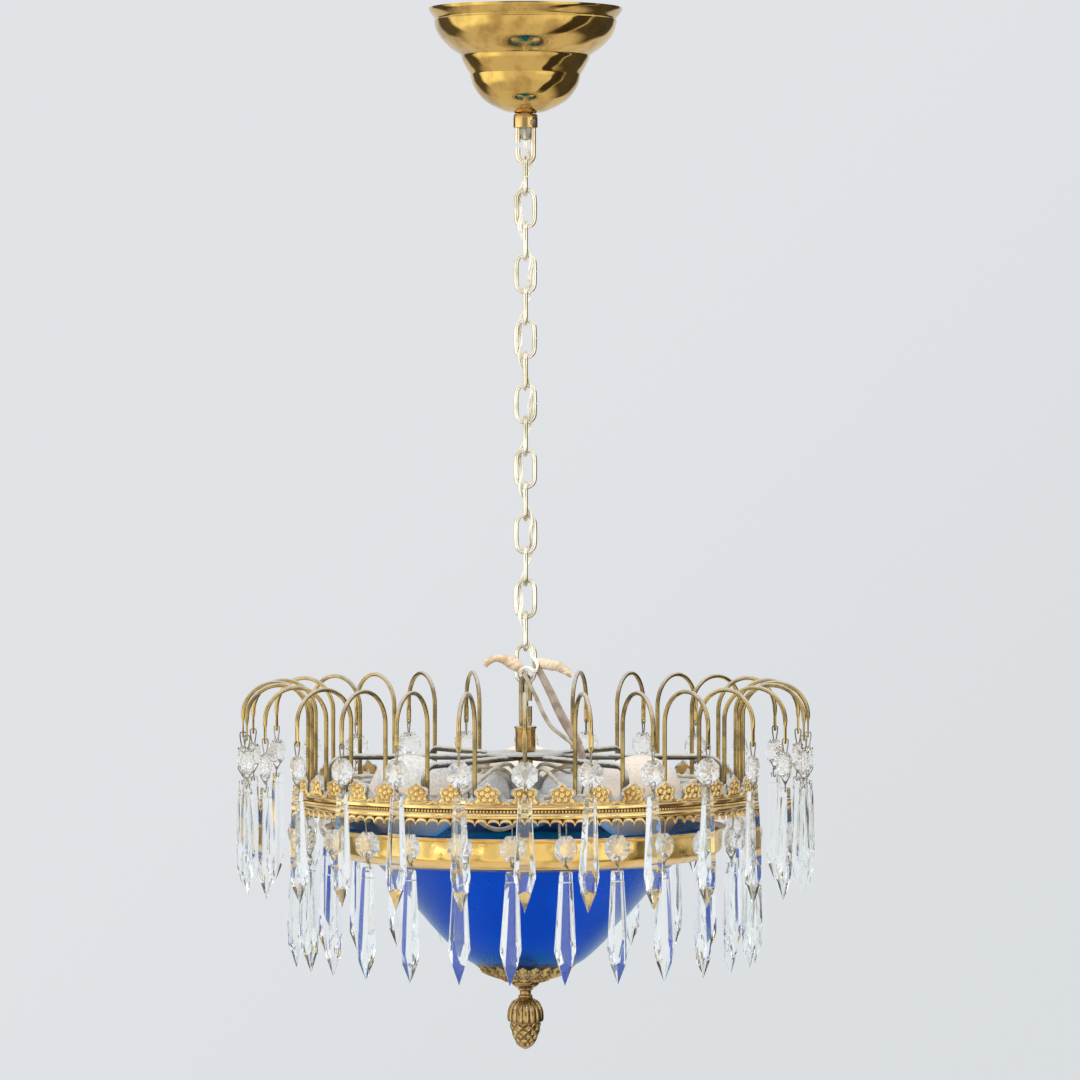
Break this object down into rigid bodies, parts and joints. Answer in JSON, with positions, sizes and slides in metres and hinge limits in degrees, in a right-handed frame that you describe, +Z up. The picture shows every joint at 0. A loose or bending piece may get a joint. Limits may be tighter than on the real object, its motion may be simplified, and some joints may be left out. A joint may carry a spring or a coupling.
{
  "type": "crystal ceiling lamp",
  "caption": "Ceiling lamp on a chain: brass canopy, ring of goose-neck arms hung with cut-glass prisms, pierced crown band, cobalt glass bowl and finial.",
  "frame": {"origin": "middle of the hook strap's upper face, where it meets the ceiling", "axes": "+Z up into the ceiling along the chain, +X to the viewer's right, and the viewer at -Y"},
  "size_m": [0.4, 0.4, 0.719],
  "materials": {
    "hanger_steel": "plain zinc-plated steel",
    "canopy_brass": "polished, lacquered, with faint specks",
    "collar_brass": "polished, slightly orange",
    "flex_sheath": "smooth white sheath",
    "chain_brass": "pale, bright",
    "aged_brass": "aged, dull",
    "frame_steel": "dusty",
    "arm_brass": "aged, brown on top, golden below",
    "gilt_brass": "gilt, stamped, dusty on its ledges",
    "satin_gilt": "satin gilt",
    "leaf_brass": "stamped, dark in the hollows",
    "dark_brass": "antique, dark",
    "cobalt_glass": "deep blue, glossy",
    "opal_glass": "opal white, dusty on top",
    "cut_glass": "clear, faceted",
    "socket_moulding": "off-white moulding"
  },
  "bodies": {
    "root": {"ceiling_hanger": "hanger_steel", "flex": "flex_sheath"},
    "canopy": {"canopy": "canopy_brass", "canopy_collar": "collar_brass"},
    "chain_link_01": {"chain_link_01": "chain_brass"},
    "chain_link_02": {"chain_link_02": "chain_brass"},
    "chain_link_03": {"chain_link_03": "chain_brass"},
    "chain_link_04": {"chain_link_04": "chain_brass"},
    "chain_link_05": {"chain_link_05": "chain_brass"},
    "chain_link_06": {"chain_link_06": "chain_brass"},
    "chain_link_07": {"chain_link_07": "chain_brass"},
    "chain_link_08": {"chain_link_08": "chain_brass"},
    "chain_link_09": {"chain_link_09": "chain_brass"},
    "chain_link_10": {"chain_link_10": "chain_brass"},
    "chain_link_11": {"chain_link_11": "chain_brass"},
    "chain_link_12": {"chain_link_12": "chain_brass"},
    "chain_link_13": {"chain_link_13": "chain_brass"},
    "chain_link_14": {"chain_link_14": "chain_brass"},
    "chain_link_15": {"chain_link_15": "chain_brass"},
    "chain_link_16": {"chain_link_16": "chain_brass"},
    "lamp": {"lamp_hanger": "aged_brass", "cross_frame": "frame_steel", "arm_ring": "arm_brass", "ring_band": "gilt_brass", "lamp_cluster": "socket_moulding"},
    "bowl": {"bowl_band": "satin_gilt", "glass_bowl": "cobalt_glass", "leaf_cap": "leaf_brass"},
    "finial": {"finial": "dark_brass"},
    "bulb_1": {"bulb_1": "opal_glass"},
    "bulb_2": {"bulb_2": "opal_glass"},
    "bulb_3": {"bulb_3": "opal_glass"},
    "pendant_01": {"pendant_01": "cut_glass"},
    "pendant_02": {"pendant_02": "cut_glass"},
    "pendant_03": {"pendant_03": "cut_glass"},
    "pendant_04": {"pendant_04": "cut_glass"},
    "pendant_05": {"pendant_05": "cut_glass"},
    "pendant_06": {"pendant_06": "cut_glass"},
    "pendant_07": {"pendant_07": "cut_glass"},
    "pendant_08": {"pendant_08": "cut_glass"},
    "pendant_09": {"pendant_09": "cut_glass"},
    "pendant_10": {"pendant_10": "cut_glass"},
    "pendant_11": {"pendant_11": "cut_glass"},
    "pendant_12": {"pendant_12": "cut_glass"},
    "pendant_13": {"pendant_13": "cut_glass"},
    "pendant_14": {"pendant_14": "cut_glass"},
    "pendant_15": {"pendant_15": "cut_glass"},
    "pendant_16": {"pendant_16": "cut_glass"},
    "pendant_17": {"pendant_17": "cut_glass"},
    "pendant_18": {"pendant_18": "cut_glass"},
    "pendant_19": {"pendant_19": "cut_glass"},
    "pendant_20": {"pendant_20": "cut_glass"},
    "pendant_21": {"pendant_21": "cut_glass"},
    "pendant_22": {"pendant_22": "cut_glass"},
    "pendant_23": {"pendant_23": "cut_glass"},
    "pendant_24": {"pendant_24": "cut_glass"},
    "pendant_25": {"pendant_25": "cut_glass"},
    "pendant_26": {"pendant_26": "cut_glass"},
    "pendant_27": {"pendant_27": "cut_glass"},
    "pendant_28": {"pendant_28": "cut_glass"}
  },
  "joints": [
    {"name": "canopy_slide", "type": "slide", "parent": "root", "child": "canopy", "axis": [0, 0, -1], "range_m": [0, 0.017]},
    {"name": "link_swing_01", "type": "hinge", "parent": "root", "child": "chain_link_01", "pos_m": [0, 0, -0.107], "axis": [1, 0, 0], "range_deg": [-25, 25], "deforming": ["flex"]},
    {"name": "link_swing_02", "type": "hinge", "parent": "chain_link_01", "child": "chain_link_02", "pos_m": [0, 0, -0.12915], "axis": [0, 1, 0], "range_deg": [-25, 25], "deforming": ["flex"]},
    {"name": "link_swing_03", "type": "hinge", "parent": "chain_link_02", "child": "chain_link_03", "pos_m": [0, 0, -0.15155], "axis": [-1, 0, 0], "range_deg": [-25, 25], "deforming": ["flex"]},
    {"name": "link_swing_04", "type": "hinge", "parent": "chain_link_03", "child": "chain_link_04", "pos_m": [0, 0, -0.17395], "axis": [0, -1, 0], "range_deg": [-25, 25], "deforming": ["flex"]},
    {"name": "link_swing_05", "type": "hinge", "parent": "chain_link_04", "child": "chain_link_05", "pos_m": [0, 0, -0.19635], "axis": [1, 0, 0], "range_deg": [-25, 25], "deforming": ["flex"]},
    {"name": "link_swing_06", "type": "hinge", "parent": "chain_link_05", "child": "chain_link_06", "pos_m": [0, 0, -0.21875], "axis": [0, 1, 0], "range_deg": [-25, 25], "deforming": ["flex"]},
    {"name": "link_swing_07", "type": "hinge", "parent": "chain_link_06", "child": "chain_link_07", "pos_m": [0, 0, -0.24115], "axis": [-1, 0, 0], "range_deg": [-25, 25], "deforming": ["flex"]},
    {"name": "link_swing_08", "type": "hinge", "parent": "chain_link_07", "child": "chain_link_08", "pos_m": [0, 0, -0.26355], "axis": [0, -1, 0], "range_deg": [-25, 25], "deforming": ["flex"]},
    {"name": "link_swing_09", "type": "hinge", "parent": "chain_link_08", "child": "chain_link_09", "pos_m": [0, 0, -0.28595], "axis": [1, 0, 0], "range_deg": [-25, 25], "deforming": ["flex"]},
    {"name": "link_swing_10", "type": "hinge", "parent": "chain_link_09", "child": "chain_link_10", "pos_m": [0, 0, -0.30835], "axis": [0, 1, 0], "range_deg": [-25, 25], "deforming": ["flex"]},
    {"name": "link_swing_11", "type": "hinge", "parent": "chain_link_10", "child": "chain_link_11", "pos_m": [0, 0, -0.33075], "axis": [-1, 0, 0], "range_deg": [-25, 25], "deforming": ["flex"]},
    {"name": "link_swing_12", "type": "hinge", "parent": "chain_link_11", "child": "chain_link_12", "pos_m": [0, 0, -0.35315], "axis": [0, -1, 0], "range_deg": [-25, 25], "deforming": ["flex"]},
    {"name": "link_swing_13", "type": "hinge", "parent": "chain_link_12", "child": "chain_link_13", "pos_m": [0, 0, -0.37555], "axis": [1, 0, 0], "range_deg": [-25, 25], "deforming": ["flex"]},
    {"name": "link_swing_14", "type": "hinge", "parent": "chain_link_13", "child": "chain_link_14", "pos_m": [0, 0, -0.39795], "axis": [0, 1, 0], "range_deg": [-25, 25], "deforming": ["flex"]},
    {"name": "link_swing_15", "type": "hinge", "parent": "chain_link_14", "child": "chain_link_15", "pos_m": [0, 0, -0.42035], "axis": [-1, 0, 0], "range_deg": [-25, 25], "deforming": ["flex"]},
    {"name": "link_swing_16", "type": "hinge", "parent": "chain_link_15", "child": "chain_link_16", "pos_m": [0, 0, -0.44275], "axis": [0, -1, 0], "range_deg": [-25, 25], "deforming": ["flex"]},
    {"name": "lamp_swing", "type": "hinge", "parent": "chain_link_16", "child": "lamp", "pos_m": [0, 0, -0.46515], "axis": [1, 0, 0], "range_deg": [-20, 20], "deforming": ["flex"]},
    {"name": "bowl_lift", "type": "slide", "parent": "lamp", "child": "bowl", "axis": [0, 0, 1], "range_m": [0, 0.005]},
    {"name": "finial_turn", "type": "hinge", "parent": "bowl", "child": "finial", "pos_m": [0, 0, -0.69], "axis": [0, 0, 1], "continuous": true},
    {"name": "bulb_1_turn", "type": "hinge", "parent": "lamp", "child": "bulb_1", "pos_m": [0.0433, -0.025, -0.543], "axis": [0.866, -0.5, 0], "continuous": true},
    {"name": "bulb_2_turn", "type": "hinge", "parent": "lamp", "child": "bulb_2", "pos_m": [0, 0.05, -0.543], "axis": [0, 1, 0], "continuous": true},
    {"name": "bulb_3_turn", "type": "hinge", "parent": "lamp", "child": "bulb_3", "pos_m": [-0.0433, -0.025, -0.543], "axis": [-0.866, -0.5, 0], "continuous": true},
    {"name": "pendant_01_swing", "type": "hinge", "parent": "lamp", "child": "pendant_01", "pos_m": [0.195, 0, -0.5], "axis": [1, 0, 0], "range_deg": [-15, 15]},
    {"name": "pendant_02_swing", "type": "hinge", "parent": "lamp", "child": "pendant_02", "pos_m": [0.19011, 0.04339, -0.5], "axis": [0.9749, 0.2225, 0], "range_deg": [-15, 15]},
    {"name": "pendant_03_swing", "type": "hinge", "parent": "lamp", "child": "pendant_03", "pos_m": [0.17569, 0.08461, -0.5], "axis": [0.901, 0.4339, 0], "range_deg": [-15, 15]},
    {"name": "pendant_04_swing", "type": "hinge", "parent": "lamp", "child": "pendant_04", "pos_m": [0.15246, 0.12158, -0.5], "axis": [0.7818, 0.6235, 0], "range_deg": [-15, 15]},
    {"name": "pendant_05_swing", "type": "hinge", "parent": "lamp", "child": "pendant_05", "pos_m": [0.12158, 0.15246, -0.5], "axis": [0.6235, 0.7818, 0], "range_deg": [-15, 15]},
    {"name": "pendant_06_swing", "type": "hinge", "parent": "lamp", "child": "pendant_06", "pos_m": [0.08461, 0.17569, -0.5], "axis": [0.4339, 0.901, 0], "range_deg": [-15, 15]},
    {"name": "pendant_07_swing", "type": "hinge", "parent": "lamp", "child": "pendant_07", "pos_m": [0.04339, 0.19011, -0.5], "axis": [0.2225, 0.9749, 0], "range_deg": [-15, 15]},
    {"name": "pendant_08_swing", "type": "hinge", "parent": "lamp", "child": "pendant_08", "pos_m": [0, 0.195, -0.5], "axis": [0, 1, 0], "range_deg": [-15, 15]},
    {"name": "pendant_09_swing", "type": "hinge", "parent": "lamp", "child": "pendant_09", "pos_m": [-0.04339, 0.19011, -0.5], "axis": [-0.2225, 0.9749, 0], "range_deg": [-15, 15]},
    {"name": "pendant_10_swing", "type": "hinge", "parent": "lamp", "child": "pendant_10", "pos_m": [-0.08461, 0.17569, -0.5], "axis": [-0.4339, 0.901, 0], "range_deg": [-15, 15]},
    {"name": "pendant_11_swing", "type": "hinge", "parent": "lamp", "child": "pendant_11", "pos_m": [-0.12158, 0.15246, -0.5], "axis": [-0.6235, 0.7818, 0], "range_deg": [-15, 15]},
    {"name": "pendant_12_swing", "type": "hinge", "parent": "lamp", "child": "pendant_12", "pos_m": [-0.15246, 0.12158, -0.5], "axis": [-0.7818, 0.6235, 0], "range_deg": [-15, 15]},
    {"name": "pendant_13_swing", "type": "hinge", "parent": "lamp", "child": "pendant_13", "pos_m": [-0.17569, 0.08461, -0.5], "axis": [-0.901, 0.4339, 0], "range_deg": [-15, 15]},
    {"name": "pendant_14_swing", "type": "hinge", "parent": "lamp", "child": "pendant_14", "pos_m": [-0.19011, 0.04339, -0.5], "axis": [-0.9749, 0.2225, 0], "range_deg": [-15, 15]},
    {"name": "pendant_15_swing", "type": "hinge", "parent": "lamp", "child": "pendant_15", "pos_m": [-0.195, 0, -0.5], "axis": [-1, 0, 0], "range_deg": [-15, 15]},
    {"name": "pendant_16_swing", "type": "hinge", "parent": "lamp", "child": "pendant_16", "pos_m": [-0.19011, -0.04339, -0.5], "axis": [-0.9749, -0.2225, 0], "range_deg": [-15, 15]},
    {"name": "pendant_17_swing", "type": "hinge", "parent": "lamp", "child": "pendant_17", "pos_m": [-0.17569, -0.08461, -0.5], "axis": [-0.901, -0.4339, 0], "range_deg": [-15, 15]},
    {"name": "pendant_18_swing", "type": "hinge", "parent": "lamp", "child": "pendant_18", "pos_m": [-0.15246, -0.12158, -0.5], "axis": [-0.7818, -0.6235, 0], "range_deg": [-15, 15]},
    {"name": "pendant_19_swing", "type": "hinge", "parent": "lamp", "child": "pendant_19", "pos_m": [-0.12158, -0.15246, -0.5], "axis": [-0.6235, -0.7818, 0], "range_deg": [-15, 15]},
    {"name": "pendant_20_swing", "type": "hinge", "parent": "lamp", "child": "pendant_20", "pos_m": [-0.08461, -0.17569, -0.5], "axis": [-0.4339, -0.901, 0], "range_deg": [-15, 15]},
    {"name": "pendant_21_swing", "type": "hinge", "parent": "lamp", "child": "pendant_21", "pos_m": [-0.04339, -0.19011, -0.5], "axis": [-0.2225, -0.9749, 0], "range_deg": [-15, 15]},
    {"name": "pendant_22_swing", "type": "hinge", "parent": "lamp", "child": "pendant_22", "pos_m": [0, -0.195, -0.5], "axis": [0, -1, 0], "range_deg": [-15, 15]},
    {"name": "pendant_23_swing", "type": "hinge", "parent": "lamp", "child": "pendant_23", "pos_m": [0.04339, -0.19011, -0.5], "axis": [0.2225, -0.9749, 0], "range_deg": [-15, 15]},
    {"name": "pendant_24_swing", "type": "hinge", "parent": "lamp", "child": "pendant_24", "pos_m": [0.08461, -0.17569, -0.5], "axis": [0.4339, -0.901, 0], "range_deg": [-15, 15]},
    {"name": "pendant_25_swing", "type": "hinge", "parent": "lamp", "child": "pendant_25", "pos_m": [0.12158, -0.15246, -0.5], "axis": [0.6235, -0.7818, 0], "range_deg": [-15, 15]},
    {"name": "pendant_26_swing", "type": "hinge", "parent": "lamp", "child": "pendant_26", "pos_m": [0.15246, -0.12158, -0.5], "axis": [0.7818, -0.6235, 0], "range_deg": [-15, 15]},
    {"name": "pendant_27_swing", "type": "hinge", "parent": "lamp", "child": "pendant_27", "pos_m": [0.17569, -0.08461, -0.5], "axis": [0.901, -0.4339, 0], "range_deg": [-15, 15]},
    {"name": "pendant_28_swing", "type": "hinge", "parent": "lamp", "child": "pendant_28", "pos_m": [0.19011, -0.04339, -0.5], "axis": [0.9749, -0.2225, 0], "range_deg": [-15, 15]}
  ]
}
